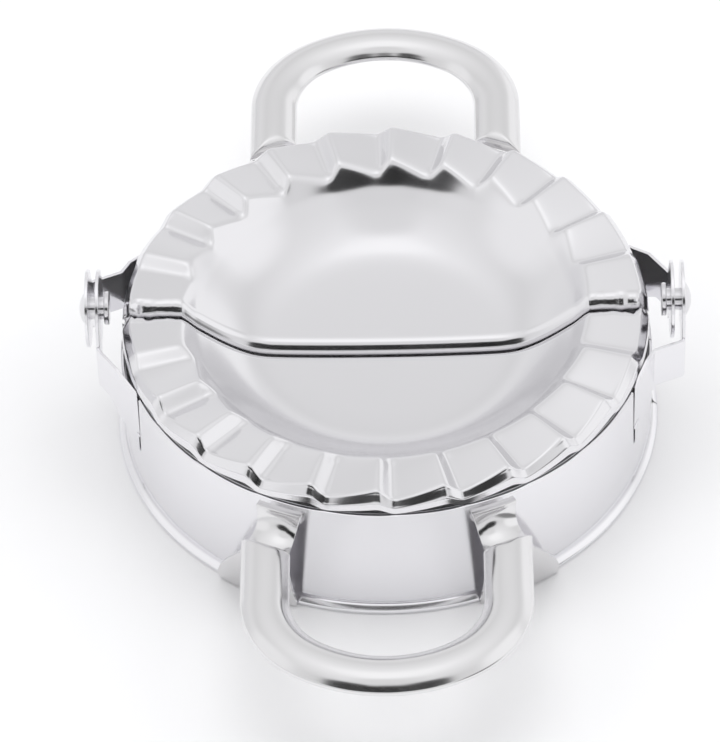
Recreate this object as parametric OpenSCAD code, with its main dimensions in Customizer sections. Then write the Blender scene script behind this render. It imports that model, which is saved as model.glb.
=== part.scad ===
// Empanada press, shown opened flat: two pressed steel halves on a pair of hinge rivets.
// +Z is up, X runs along the hinge, -Y is the front, and the origin lies on the table
// under the middle of the seam. All sizes are in millimetres.

/* [Press] */
// Diameter of the mold plates across the hinge
press_d = 95; // [88:0.5:110]
// Height of the plates' mean top face above the table
plate_z = 27.5; // [24:0.5:34]
// Gap between the two cutter bands along the seam when open
seam_gap = 0.3; // [0.2:0.05:0.6]
// Gap between the two plates' turned-down edges along the seam when open
hem_gap = 1; // [0.3:0.1:1.8]

/* [Mold plate] */
// Thickness of the plate's sheet
plate_sheet = 0.6; // [0.4:0.05:0.7]
// Diameter of the bowl at its edge
bowl_d = 73; // [60:0.5:76]
// Depth of the bowl's wall
wall_depth = 10.2; // [8:0.1:13]
// Further dip of the bowl's floor towards its middle
floor_dip = 0.6; // [0:0.1:1.5]
// Width of the bowl's sloping wall, from its edge to its floor
bowl_run = 15.5; // [12:0.1:18]
// Softness of the bowl's edge, as a share of the wall's width
bowl_soft = 0.06; // [0.04:0.01:0.16]
// Number of pleats on each half
pleats = 12; // [8:1:14]
// Height of a pleat from its low line to its high line
pleat_rise = 2.4; // [1.4:0.1:3]
// Share of a pleat that its short step takes
step_share = 0.22; // [0.14:0.01:0.36]
// Turn from the seam to where the pleats' even spacing starts
pleat_start = 1.2; // [0:0.1:2]
// Width of the band across the bowl's edge where the pleats die away
pleat_fade = 4.5; // [2:0.5:7]
// Rounding of the plate's outer lip
lip_round = 1.5; // [1:0.1:2]
// Drop of the lip's lower edge below the mean top face
lip_drop = 3.6; // [3:0.1:4.5]
// Share of the pleats' height that the lip's lower edge still has
lip_wave = 0.5; // [0:0.05:0.7]
// Rounding of the turned-down edge along the seam
hem_round = 2.6; // [1.2:0.1:3]
// Depth of the turned-down edge along the seam
hem_drop = 3.2; // [3:0.1:3.6]

/* [Cutter band] */
// Step of the band outside the plate's lip
band_proud = 0.4; // [0.2:0.05:0.8]
// Spread of the band's foot beyond its top edge
band_draft = 0.4; // [0:0.05:0.8]
// Thickness of the band's sheet
band_sheet = 0.7; // [0.5:0.05:1]
// Radius of the bead along the cutting edge
bead_r = 0.65; // [0.5:0.05:0.8]
// Angle from the seam to the slit at each end of the band
slit_angle = 23; // [20:0.5:27]
// Width of the slit
slit_w = 0.4; // [0.3:0.05:0.6]
// Depth of the slit below the band's top edge
slit_h = 12.3; // [9:0.1:15]

/* [Hinge] */
// Rise of the hinge axis above the plates' mean top face
axis_rise = 0.8; // [0.6:0.05:1.4]
// Distance from the plate's edge to the middle of the inner lug
lug_reach = 3.9; // [3.6:0.1:4.6]
// Distance between the middles of the inner and the outer lug
lug_pitch = 1.9; // [1.6:0.05:2.4]
// Thickness of the lugs and their arms
lug_sheet = 0.6; // [0.5:0.05:0.8]
// Diameter of the round lugs
lug_d = 14; // [12:0.5:14.5]
// Drop of an arm's upper edge below the plates' mean top face
arm_drop = 1; // [0.6:0.1:1.6]
// Height of an arm
arm_h = 9; // [7:0.1:9.5]
// Height over which an arm's root is joined to the band beside the slit
arm_weld = 3.2; // [2:0.1:4]
// Gap between a lug's disc and its arm's bend
lug_clear = 1.2; // [0.9:0.1:1.6]
// Length of an arm's bend along the hinge
bend_run = 2.6; // [2:0.1:3.2]
// Angle of the web between a lug's disc and its arm
web_turn = 22; // [14:1:30]
// Diameter of the rivet's shank
rivet_d = 4; // [3:0.1:5]
// Diameter of the rivet's domed outer head
head_d = 6.4; // [5.8:0.1:7.5]
// Height of the domed head
head_rise = 1.2; // [0.8:0.1:1.4]
// Diameter of the rivet's inner head
tail_d = 6; // [5.6:0.1:7]
// Thickness of the inner head
tail_t = 0.85; // [0.6:0.05:1]
// Shank left bare between the inner lug and the inner head
tail_gap = 0.7; // [0.3:0.05:0.9]

/* [Handle] */
// Distance from the seam to the handle's farthest edge
handle_reach = 84; // [76:0.5:95]
// Width across the handle's two legs
handle_w = 50.8; // [46:0.2:56]
// Width of the handle's bar
bar_w = 8.6; // [7:0.1:9.6]
// Height of the handle's bar
bar_h = 2.8; // [2.4:0.1:3.6]
// Rounding of the bar's upper edges
bar_round = 2.1; // [1.2:0.1:2.3]
// Thickness of the handle's sheet
bar_sheet = 0.7; // [0.5:0.05:0.9]
// Drop of the bar's top below the plates' mean top face
bar_drop = 6.3; // [5.5:0.1:8]
// Outer radius of the handle's front arc
front_r = 30; // [28:0.5:34]
// Angle of the front arc on each side of the middle
front_turn = 32; // [26:1:36]
// Height of a leg's end wall above the bar's lower edge
end_rise = 0.3; // [0.1:0.05:0.6]
// Lean of a leg's end wall
end_draft = 0.1; // [0.05:0.01:0.2]

/* [Bracket] */
// Distance from the band's top edge to the leg's end
neck_l = 6.4; // [5.5:0.1:8]
// Width of the neck where it leaves the band
neck_w = 8.4; // [6:0.1:10]
// Thickness of the bracket's sheet
bracket_sheet = 0.7; // [0.5:0.05:0.9]
// Angle that the foot reaches outward along the band
foot_out = 14; // [8:0.5:16]
// Angle that the foot reaches inward along the band
foot_in = 4; // [2:0.5:6]
// Height of the foot's lower edge above the table
toe_low = 0.4; // [0.2:0.1:1]

/* [Fits] */
// Running clearance between a rivet's shank and the lugs' bores
fit_run = 0.05; // [0.03:0.01:0.1]
// Clearance between pieces that are seated against each other
fit_seat = 0.12; // [0.08:0.01:0.2]

/* [Hidden] */

smooth = 96;
press_r = press_d / 2;
bowl_r = bowl_d / 2;
axis_z = plate_z + axis_rise;
pitch = 180 / pleats;
quarter = 90;
overlap = 0.5;

// ---------------------------------------------------------------- mold plate
// A half disc of sheet. Rings run from the middle of the seam out to the lip's lower edge,
// and columns run from the left end of the seam round the front to its right end.

// Height of the pleats at a column, from -1 to 1: a long rise and a short drop. The first
// pleat starts level with the seam and the last one ends level with it.
function saw(turn) =
    let (share = (turn / pitch + 0.5) % 1, step = step_share / 2)
    turn < pitch * (1 - step) ? turn / (pitch * (1 - step))
    : turn > 180 - pitch * (1 - step) ? (turn - 180) / (pitch * (1 - step))
    : abs(share - 0.5) <= step ? (0.5 - share) / step
    : share < 0.5 ? share / (0.5 - step)
    : (share - 1) / (0.5 - step);

// Columns that catch a pleat's two rounded corners and leave its long face plain.
near_share = 0.28;
far_share = 0.62;
corner_near = pitch * step_share * near_share;
corner_far = pitch * step_share * far_share;
face_third = (pitch - 2 * corner_far) / 3;
turns = concat(
    [0],
    [for (k = [0:pleats - 1])
        for (d = [
            corner_near, corner_far, corner_far + face_third,
            pitch - corner_far - face_third, pitch - corner_far, pitch - corner_near
        ]) pitch * k + d],
    [180]
);
rise = [for (t = turns) saw(t) * pleat_rise / 2];

function smoothstep(x) = let (c = min(1, max(0, x))) c * c * (3 - 2 * c);

// Drop of the bowl: a quarter sine from its edge to its floor, eased at the edge, and then
// the floor's own shallow dip.
flat_r = bowl_r - bowl_run;
function bowl_share(r) =
    let (x = (bowl_r - r) / bowl_run)
    min(1, (x + sqrt(x * x + bowl_soft * bowl_soft)) / 2);
function bowl_drop(r) =
    let (dip = 1 - min(1, r * r / (flat_r * flat_r)))
    wall_depth * sin(quarter * bowl_share(r)) + floor_dip * dip * dip;
function pleat_share(r) = smoothstep(0.5 + (r - bowl_r) / pleat_fade);

// The plate's profile as [radius, drop, share of the pleats' height].
rim_w = press_r - lip_round - bowl_r;
flare = 0.25;
lip_x = press_r - flare;
flat_shares = [0.36, 0.7];
wall_shares = [1, 0.8, 0.6, 0.42, 0.26, 0.12, 0];
rim_shares = [0.13, 0.26];
lip_turns = [90, 62, 36, 12];
profile = concat(
    [for (s = flat_shares) [flat_r * s, bowl_drop(flat_r * s), 0]],
    [for (s = wall_shares)
        let (r = bowl_r - bowl_run * s) [r, bowl_drop(r), pleat_share(r)]],
    [for (s = rim_shares) let (r = bowl_r + rim_w * s) [r, bowl_drop(r), pleat_share(r)]],
    [for (a = lip_turns)
        let (share = 1 - (1 - lip_wave) * (1 - a / quarter))
        [lip_x + lip_round * (cos(a) - 1), lip_round * (1 - sin(a)), share]],
    [[press_r, lip_drop, lip_wave]]
);
rings = len(profile);
columns = len(turns);

// Radius and height of the upper face at ring i of a column with the pleat height p.
function edge_rz(i, p) = [profile[i][0], -profile[i][1] + profile[i][2] * p];
// The same point moved through the sheet, square to the profile.
function under_rz(i, p) =
    let (
        a = edge_rz(max(0, i - 1), p),
        b = edge_rz(min(rings - 1, i + 1), p),
        d = i == 0 ? [1, 0] : (b - a) / norm(b - a)
    )
    edge_rz(i, p) + plate_sheet * [d[1], -d[0]];

// A column's place in plan: rings are arcs about the middle of the press, which starts
// behind this plate's face, and end at the line where the hem's rounding starts.
ring_y = (hem_gap - seam_gap) / 2;
seam_y = ring_y + hem_round;
near_span = 12;
function swing(turn, r) =
    let (
        even = pleat_start + turn * (1 - pleat_start / quarter),
        late = asin(min(1, seam_y / r)) - pleat_start
    )
    even + late * max(0, 1 - turn / max(near_span, 2 * late));
function around(turn, r) = turn <= quarter ? swing(turn, r) : 180 - swing(180 - turn, r);
function spot(rz, turn) =
    let (a = around(turn, rz[0]))
    [-rz[0] * cos(a), ring_y - rz[0] * sin(a), rz[1]];

upper = [for (i = [0:rings - 1]) for (j = [0:columns - 1]) spot(edge_rz(i, rise[j]), turns[j])];
under = [for (i = [0:rings - 1]) for (j = [0:columns - 1]) spot(under_rz(i, rise[j]), turns[j])];
middle = [0, -hem_round, -wall_depth - floor_dip];

// The plate's edge along the seam, left lip to right lip, and the hem that hangs from it.
edge_steps = 2 * rings;
function edge_ring(m) = m < rings ? rings - 1 - m : m - rings - 1;
function edge_spot(m, inner) =
    m == rings ? middle - [0, 0, inner ? plate_sheet : 0]
    : let (i = edge_ring(m), rz = inner ? under_rz(i, 0) : edge_rz(i, 0))
        spot(rz, m < rings ? 0 : 180);
hem_turns = [22.5, 45, 67.5, 90];
hem_least = 0.06;
hem_rows = len(hem_turns) + 1;
// Rows of the hem: a quarter round, then the flat skirt. It dies away down the lip.
function hem_spot(m, k, inner) =
    let (
        top = edge_spot(m, false)[2],
        base = edge_spot(m, inner),
        fall = abs(base[0]) < bowl_r ? 1 : max(hem_least, min(hem_drop, top + lip_drop) / hem_drop),
        round_r = inner ? hem_round - plate_sheet : hem_round,
        a = hem_turns[min(k, hem_rows - 1) - 1]
    )
    k == hem_rows
        ? [base[0], round_r - hem_round, top - fall * hem_drop]
        : [base[0], -hem_round + round_r * sin(a), base[2] - fall * round_r * (1 - cos(a))];
hem = [for (m = [0:edge_steps]) for (k = [1:hem_rows]) hem_spot(m, k, false)];
hem_in = [for (m = [0:edge_steps]) for (k = [1:hem_rows]) hem_spot(m, k, true)];

plate_points = concat(upper, [middle], under, [middle - [0, 0, plate_sheet]], hem, hem_in);
grid_n = rings * columns + 1;
hem_n = (edge_steps + 1) * hem_rows;
// Numbers of a point on the grid, of the middle, and of a point on the edge or the hem.
function at_grid(i, j, side) = side * grid_n + i * columns + j;
function at_middle(side) = side * grid_n + grid_n - 1;
function at_edge(m, k, side) =
    k > 0 ? 2 * grid_n + side * hem_n + m * hem_rows + k - 1
    : m == rings ? at_middle(side)
    : at_grid(edge_ring(m), m < rings ? 0 : columns - 1, side);
// A four-sided face as two triangles, turned over for the under side.
function quad(a, b, c, d, side) =
    side == 0 ? [[a, c, b], [a, d, c]] : [[a, b, c], [a, c, d]];

plate_faces = [
    for (side = [0, 1]) each concat(
        [for (j = [0:columns - 2])
            side == 0 ? [at_middle(0), at_grid(0, j + 1, 0), at_grid(0, j, 0)]
            : [at_middle(1), at_grid(0, j, 1), at_grid(0, j + 1, 1)]],
        [for (i = [0:rings - 2]) for (j = [0:columns - 2]) each quad(
            at_grid(i, j, side), at_grid(i + 1, j, side),
            at_grid(i + 1, j + 1, side), at_grid(i, j + 1, side), side)],
        [for (m = [0:edge_steps - 1]) for (k = [0:hem_rows - 1]) each quad(
            at_edge(m, k, side), at_edge(m + 1, k, side),
            at_edge(m + 1, k + 1, side), at_edge(m, k + 1, side), side)]
    ),
    for (j = [0:columns - 2]) each quad(
        at_grid(rings - 1, j, 0), at_grid(rings - 1, j, 1),
        at_grid(rings - 1, j + 1, 1), at_grid(rings - 1, j + 1, 0), 0),
    for (m = [0:edge_steps - 1]) each quad(
        at_edge(m, hem_rows, 0), at_edge(m + 1, hem_rows, 0),
        at_edge(m + 1, hem_rows, 1), at_edge(m, hem_rows, 1), 0),
    for (k = [0:hem_rows - 1]) each quad(
        at_edge(0, k, 0), at_edge(0, k + 1, 0), at_edge(0, k + 1, 1), at_edge(0, k, 1), 0),
    for (k = [0:hem_rows - 1]) each quad(
        at_edge(edge_steps, k, 1), at_edge(edge_steps, k + 1, 1),
        at_edge(edge_steps, k + 1, 0), at_edge(edge_steps, k, 0), 0)
];

module mold_plate() {
    color("gainsboro")
        translate([0, -hem_gap / 2, plate_z])
            polyhedron(plate_points, plate_faces);
}

// --------------------------------------------------------------- cutter band
band_r = press_r + band_proud;
foot_r = band_r + band_draft;
band_top = plate_z - lip_drop - lip_wave * pleat_rise / 2 - fit_seat;
bead_stand = 0.7;
bead_x = foot_r + bead_r * bead_stand;
bead_edge = bead_x + bead_r;
slit_foot = band_top - slit_h;

// The wall stands on a bead with a flat underside, which is the cutting edge.
module band_wall() {
    rotate([0, 0, 180])
        rotate_extrude(angle = 180, $fn = smooth * 2) {
            polygon([
                [foot_r - band_sheet, 0], [foot_r, 0],
                [foot_r, bead_r * 2], [band_r, band_top], [band_r - band_sheet, band_top]
            ]);
            translate([bead_x, bead_r])
                circle(bead_r, $fn = smooth);
            translate([foot_r - overlap, 0])
                square([bead_x - foot_r + overlap, bead_r]);
        }
}

// Plan of a bent strip: straight runs of sheet with round bends.
module strip(points, thick) {
    for (i = [0:len(points) - 2])
        let (run = points[i + 1] - points[i])
            translate(points[i])
                rotate([0, 0, atan2(run[1], run[0])])
                    translate([0, -thick / 2])
                        square([norm(run), thick]);
    for (p = points)
        translate(p)
            circle(thick / 2, $fn = smooth / 2);
}

inner_lug_x = press_r + lug_reach;
outer_lug_x = inner_lug_x + lug_pitch;
mid_r = band_r - band_sheet / 2;
// Where an arm leaves the band, just on the hinge side of the slit.
root_turn = slit_angle - atan((slit_w + lug_sheet) / 2 / mid_r);
root = mid_r * [cos(root_turn), -sin(root_turn)];
lug_y = -(lug_d / 2 + lug_clear);
bend_y = lug_y - bend_run;
slant_y = bend_y - bend_run;
strip_high = plate_z - arm_drop;
strip_low = strip_high - arm_h;

// Side outline of an arm: full height at the lug, dipping to the slit at the band.
module arm_outline() {
    reach_y = root[1] - overlap;
    polygon([
        [reach_y, band_top], [slant_y, strip_high], [lug_y / 2, strip_high],
        [lug_y / 2, strip_low], [bend_y - overlap, strip_low], [reach_y, slit_foot]
    ]);
}

// Side outline of a lug: a disc on the hinge axis with a web down to its arm.
module lug_outline() {
    r = lug_d / 2;
    translate([0, axis_z])
        circle(r, $fn = smooth);
    polygon([
        [lug_y, strip_high], [-r * cos(web_turn), axis_z + r * sin(web_turn)], [0, axis_z],
        [-r * sin(web_turn), axis_z - r * cos(web_turn)], [lug_y + 2 * lug_clear, strip_low],
        [lug_y, strip_low]
    ]);
}

// Carries a side outline, drawn in Y and Z, along X.
module along_x(x, w) {
    translate([x, 0, 0])
        rotate([90, 0, 90])
            linear_extrude(w)
                children();
}

module arm(path, lug_x) {
    intersection() {
        linear_extrude(axis_z + lug_d)
            strip(path, lug_sheet);
        along_x(0, outer_lug_x + lug_sheet)
            arm_outline();
    }
    difference() {
        along_x(lug_x - lug_sheet / 2, lug_sheet)
            lug_outline();
        translate([lug_x - lug_sheet, seam_gap / 2, axis_z])
            rotate([0, 90, 0])
                cylinder(h = 2 * lug_sheet, r = rivet_d / 2 + fit_run, $fn = smooth);
    }
}

// The outer arm runs on from the band and then turns out to its lug.
module outer_arm() {
    arm([root, [band_r, bend_y], [outer_lug_x, lug_y], [outer_lug_x, lug_y / 2]], outer_lug_x);
}

// The inner arm leaves the band on a long slant.
module inner_arm() {
    arm([root, [band_r, slant_y], [inner_lug_x, lug_y], [inner_lug_x, lug_y / 2]], inner_lug_x);
}

// The window that is left where an arm was cut free of the band and bent out.
module arm_window() {
    along_x(0, press_d)
        polygon([
            [root[1] - lug_sheet / 2, plate_z], [root[1] - lug_sheet / 2, slit_foot + arm_weld],
            [bend_y - overlap, strip_low + overlap], [overlap, strip_low + overlap],
            [overlap, plate_z]
        ]);
}

module slit() {
    rotate([0, 0, -slit_angle])
        translate([mid_r - lug_reach, -slit_w / 2, slit_foot])
            cube([2 * lug_reach, slit_w, plate_z]);
}

module cutter_band() {
    color("silver")
        translate([0, -seam_gap / 2, 0]) {
            difference() {
                band_wall();
                for (side = [0, 1])
                    mirror([side, 0, 0]) {
                        arm_window();
                        slit();
                    }
            }
            outer_arm();
            mirror([1, 0, 0])
                inner_arm();
        }
}

// --------------------------------------------------------------------- hinge
tail_x = inner_lug_x - lug_sheet / 2 - tail_gap - tail_t;
head_x = outer_lug_x + lug_sheet / 2 + fit_seat;
dome_r = (head_d * head_d / 4 + head_rise * head_rise) / (2 * head_rise);

// Half section of a rivet, drawn with its axis upright and X as height.
module rivet_section() {
    translate([0, tail_x])
        square([tail_d / 2, tail_t]);
    translate([0, tail_x])
        square([rivet_d / 2, head_x - tail_x]);
    intersection() {
        translate([0, head_x + head_rise - dome_r])
            circle(dome_r, $fn = smooth * 2);
        translate([0, head_x])
            square([head_d / 2, head_rise]);
    }
}

module hinge_rivet() {
    color("gainsboro")
        translate([0, 0, axis_z])
            rotate([0, 90, 0])
                rotate_extrude($fn = smooth)
                    rivet_section();
}

// -------------------------------------------------------------------- sheets
// A closed body between two surfaces, each a list of rows of points.
module sheet(top, base) {
    rows = len(top);
    cols = len(top[0]);
    n = rows * cols;
    polyhedron(
        [for (grid = [top, base]) for (row = grid) each row],
        concat(
            [for (side = [0, 1]) for (i = [0:rows - 2]) for (j = [0:cols - 2])
                let (a = side * n + i * cols + j)
                each quad(a, a + cols, a + cols + 1, a + 1, side)],
            [for (i = [0:rows - 2]) let (a = i * cols) each quad(a, a + n, a + n + cols, a + cols, 0)],
            [for (i = [0:rows - 2]) let (a = i * cols + cols - 1)
                each quad(a, a + n, a + n + cols, a + cols, 1)],
            [for (j = [0:cols - 2]) each quad(j, j + n, j + n + 1, j + 1, 1)],
            [for (j = [0:cols - 2]) let (a = n - cols + j) each quad(a, a + n, a + n + 1, a + 1, 0)]
        )
    );
}

// Direction square to a surface at one of its points.
function square_to(grid, i, j) =
    let (
        rows = len(grid),
        cols = len(grid[0]),
        along = grid[min(rows - 1, i + 1)][j] - grid[max(0, i - 1)][j],
        across = grid[i][min(cols - 1, j + 1)] - grid[i][max(0, j - 1)],
        n = cross(along, across)
    )
    n / norm(n);
function moved(grid, d) = [for (i = [0:len(grid) - 1])
    [for (j = [0:len(grid[0]) - 1]) grid[i][j] + d * square_to(grid, i, j)]];

// -------------------------------------------------------------------- handle
bar_top = plate_z - bar_drop;
bar_foot = bar_top - bar_h;
corner_r = (handle_w / 2 - front_r * sin(front_turn)) / (1 - sin(front_turn));
front_y = front_r - handle_reach;
corner_x = (front_r - corner_r) * sin(front_turn);
corner_y = front_y - (front_r - corner_r) * cos(front_turn);
leg_end = band_r + neck_l;

// The bar is a pressed channel, open below, drawn as two surfaces a sheet's depth apart.
// Columns run across it from the loop's outer side to its inner side.
round_steps = [0, 30, 60, 90];
function bar_side(inset) =
    let (w = bar_w / 2 - inset, r = bar_round - inset)
    concat([[w, -bar_h]], [for (a = round_steps) [w - r * (1 - cos(a)), -inset - r * (1 - sin(a))]]);
function bar_profile(inset) =
    let (side = bar_side(inset), n = len(side))
    concat(side, [for (i = [n - 1:-1:0]) [-side[i][0], side[i][1]]]);

// A station has a place in plan, the bar's direction across there, and a ceiling for its heights.
// The brackets stand on the band where the legs point to its middle.
leg_x = handle_w / 2 - bar_w / 2;
bracket_turn = asin(leg_x / leg_end);
function leg_station(distance, ceiling) = [
    [leg_x, -(distance - leg_x * sin(bracket_turn)) / cos(bracket_turn)],
    [1, tan(bracket_turn)],
    ceiling
];
// The leg's end: from the lower edge of its end wall up and over the rounded edge.
function end_stations(inset) =
    let (r = bar_round - inset, first = leg_end + inset)
    concat(
        [leg_station(first - end_draft, end_rise - bar_h)],
        [for (a = round_steps) leg_station(first + r * (1 - cos(a)), -inset - r * (1 - sin(a)))]
    );
function arc_station(x, y, r, a) = [[x + r * sin(a), y - r * cos(a)], [sin(a), -cos(a)], 0];
corner_steps = 6;
front_steps = 4;
function half_stations(inset) = concat(
    end_stations(inset),
    [for (i = [0:corner_steps])
        let (a = quarter + (front_turn - quarter) * i / corner_steps)
        arc_station(corner_x, corner_y, corner_r - bar_w / 2, a)],
    [for (i = [front_steps - 1:-1:0])
        arc_station(0, front_y, front_r - bar_w / 2, front_turn * i / front_steps)]
);
function mirror_x(v) = [-v[0], v[1]];
function stations(inset) =
    let (half = half_stations(inset))
    concat(
        [for (s = half) [mirror_x(s[0]), mirror_x(s[1]), s[2]]],
        [for (i = [len(half) - 2:-1:0]) half[i]]
    );
function bar_surface(inset) = [for (s = stations(inset)) [for (p = bar_profile(inset))
    [s[0][0] + s[1][0] * p[0], s[0][1] + s[1][1] * p[0], bar_top + min(p[1], s[2])]]];

module handle() {
    color("gainsboro")
        sheet(bar_surface(0), bar_surface(bar_sheet));
}

// ------------------------------------------------------------------- bracket
// A strap of sheet: a neck that rises to the band's top edge, a bend under the leg's end,
// and a foot that widens down to the bead. Rows run along the strap, columns across it.
bracket_columns = 6;
neck_r = band_r + fit_seat + bracket_sheet / 2;
toe_r = bead_edge + fit_seat + bracket_sheet / 2;
under_leg = bar_foot - fit_seat - bracket_sheet / 2;
neck_top = band_top - bracket_sheet;
strap_half = bar_w / 2 - fit_seat;
foot_bend = leg_end + bracket_sheet;

// A row: distance from the middle of the press, height, the two edges across the strap,
// and how far the row follows the band's curve, from 0 to 1.
neck_shares = [0, 0.2, 0.45, 0.7, 0.9, 1];
foot_shares = [0.04, 0.2, 0.36, 0.52, 0.68, 0.84, 1];
neck_rows = [for (s = neck_shares)
    let (
        run = 1 - cos(quarter * s),
        fall = sin(quarter * s),
        half = neck_w / 2 + (strap_half - neck_w / 2) * s
    )
    [neck_r + (leg_end - neck_r) * run, neck_top + (under_leg - neck_top) * fall, -half, half, 1 - s]];
foot_rows = [for (s = foot_shares)
    let (grow = sin(quarter * s))
    [
        foot_bend + (toe_r - foot_bend) * s,
        under_leg - bracket_sheet + (toe_low - under_leg + bracket_sheet) * s,
        -strap_half + (strap_half - toe_r * sin(foot_in)) * grow,
        strap_half + (toe_r * sin(foot_out) - strap_half) * grow,
        s
    ]];
bracket_rows = concat(neck_rows, [foot_rows[0] + [0, bracket_sheet / 2, 0, 0, 0]], foot_rows);

function strap_spot(row, share) =
    let (
        u = row[2] + (row[3] - row[2]) * share,
        arc = sqrt(row[0] * row[0] - u * u)
    )
    [u, -(row[0] + (arc - row[0]) * row[4]), row[1]];
strap = [for (row = bracket_rows) [for (j = [0:bracket_columns]) strap_spot(row, j / bracket_columns)]];

module bracket() {
    color("silver")
        rotate([0, 0, bracket_turn])
            sheet(moved(strap, bracket_sheet / 2), moved(strap, -bracket_sheet / 2));
}

// ------------------------------------------------------------------- halves
module rear() {
    rotate([0, 0, 180])
        children();
}

module left() {
    mirror([1, 0, 0])
        children();
}

mold_plate();  // front_mold_plate
cutter_band();  // front_cutter_band
handle();  // front_handle
left() bracket();  // front_left_bracket
bracket();  // front_right_bracket
rear() mold_plate();  // rear_mold_plate
rear() cutter_band();  // rear_cutter_band
rear() handle();  // rear_handle
rear() bracket();  // rear_left_bracket
rear() left() bracket();  // rear_right_bracket
rear() hinge_rivet();  // left_hinge_rivet
hinge_rivet();  // right_hinge_rivet
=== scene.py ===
"""Opened empanada press in polished stainless steel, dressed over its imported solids.

Sizes are in millimetres in the object's own frame: +Z up, X along the hinge, -Y the front.
Each sheet of steel is a pair of surfaces worked out with numpy, and a Shell turns its
patches into one closed mesh. The rear half is the front half turned half a turn about Z.
A whole number given to linspace, arc or resample is a count of points or steps, which sets
how fine a mesh is.
"""

from __future__ import annotations

import logging
from dataclasses import dataclass, field
from enum import Enum

import bpy
import numpy as np
from mathutils import Matrix, Vector

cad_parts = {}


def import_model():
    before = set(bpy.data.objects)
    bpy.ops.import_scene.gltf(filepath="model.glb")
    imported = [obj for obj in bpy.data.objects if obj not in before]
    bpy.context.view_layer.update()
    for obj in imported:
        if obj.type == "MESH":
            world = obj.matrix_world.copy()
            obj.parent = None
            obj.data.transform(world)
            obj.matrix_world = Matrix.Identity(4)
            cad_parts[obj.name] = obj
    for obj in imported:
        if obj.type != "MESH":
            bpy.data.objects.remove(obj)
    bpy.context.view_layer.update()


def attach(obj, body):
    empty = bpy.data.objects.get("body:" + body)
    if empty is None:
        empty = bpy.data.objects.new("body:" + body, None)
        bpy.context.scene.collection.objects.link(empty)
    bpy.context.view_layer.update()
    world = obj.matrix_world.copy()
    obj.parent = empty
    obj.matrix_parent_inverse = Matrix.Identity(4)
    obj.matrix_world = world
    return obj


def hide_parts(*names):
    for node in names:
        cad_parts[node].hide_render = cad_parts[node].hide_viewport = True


LOG = logging.getLogger("press")
MM = 0.001
AXIS_Z = 28.3  # height of the hinge axis
LEG_TURN = 22.868  # turn of a handle's leg about the middle of the press, in degrees
LEG_END = 54.3  # distance of a leg's end from the middle, along the leg's turn
EDGE_STEPS = (12, 5, 8)  # faces over an edge's first round, its slanted face and its second round
Array = np.ndarray
Pair = tuple[float, float]
Triple = tuple[float, float, float]
Inputs = dict[str, float | tuple[float, ...]]


class Half(Enum):
    """The two halves of the press, each with its body and its turn about Z."""

    FRONT = ("front", "front_half", 0.0)
    REAR = ("rear", "rear_half", 180.0)

    @property
    def label(self) -> str:
        """First word of the names of this half's nodes."""
        return self.value[0]

    @property
    def body(self) -> str:
        """Name of the rigid body that this half's pieces ride on."""
        return self.value[1]

    def place(self, points: Array) -> Array:
        """Turn points of the front half to where this half has them.

        Args:
            points: array whose last axis holds x, y and z.

        Returns:
            The turned points.
        """
        turn = np.radians(self.value[2])
        spin = np.array([
            [np.cos(turn), np.sin(turn), 0.0],
            [-np.sin(turn), np.cos(turn), 0.0],
            [0.0, 0.0, 1.0],
        ])
        return points @ spin


class Hand(Enum):
    """The two ends of the hinge, as seen from the front."""

    LEFT = -1.0
    RIGHT = 1.0

    @property
    def label(self) -> str:
        """Word for this side in a node's name."""
        return self.name.lower()

    def place(self, points: Array) -> Array:
        """Mirror points of the right side to this side."""
        return points * np.array([self.value, 1.0, 1.0])


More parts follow.
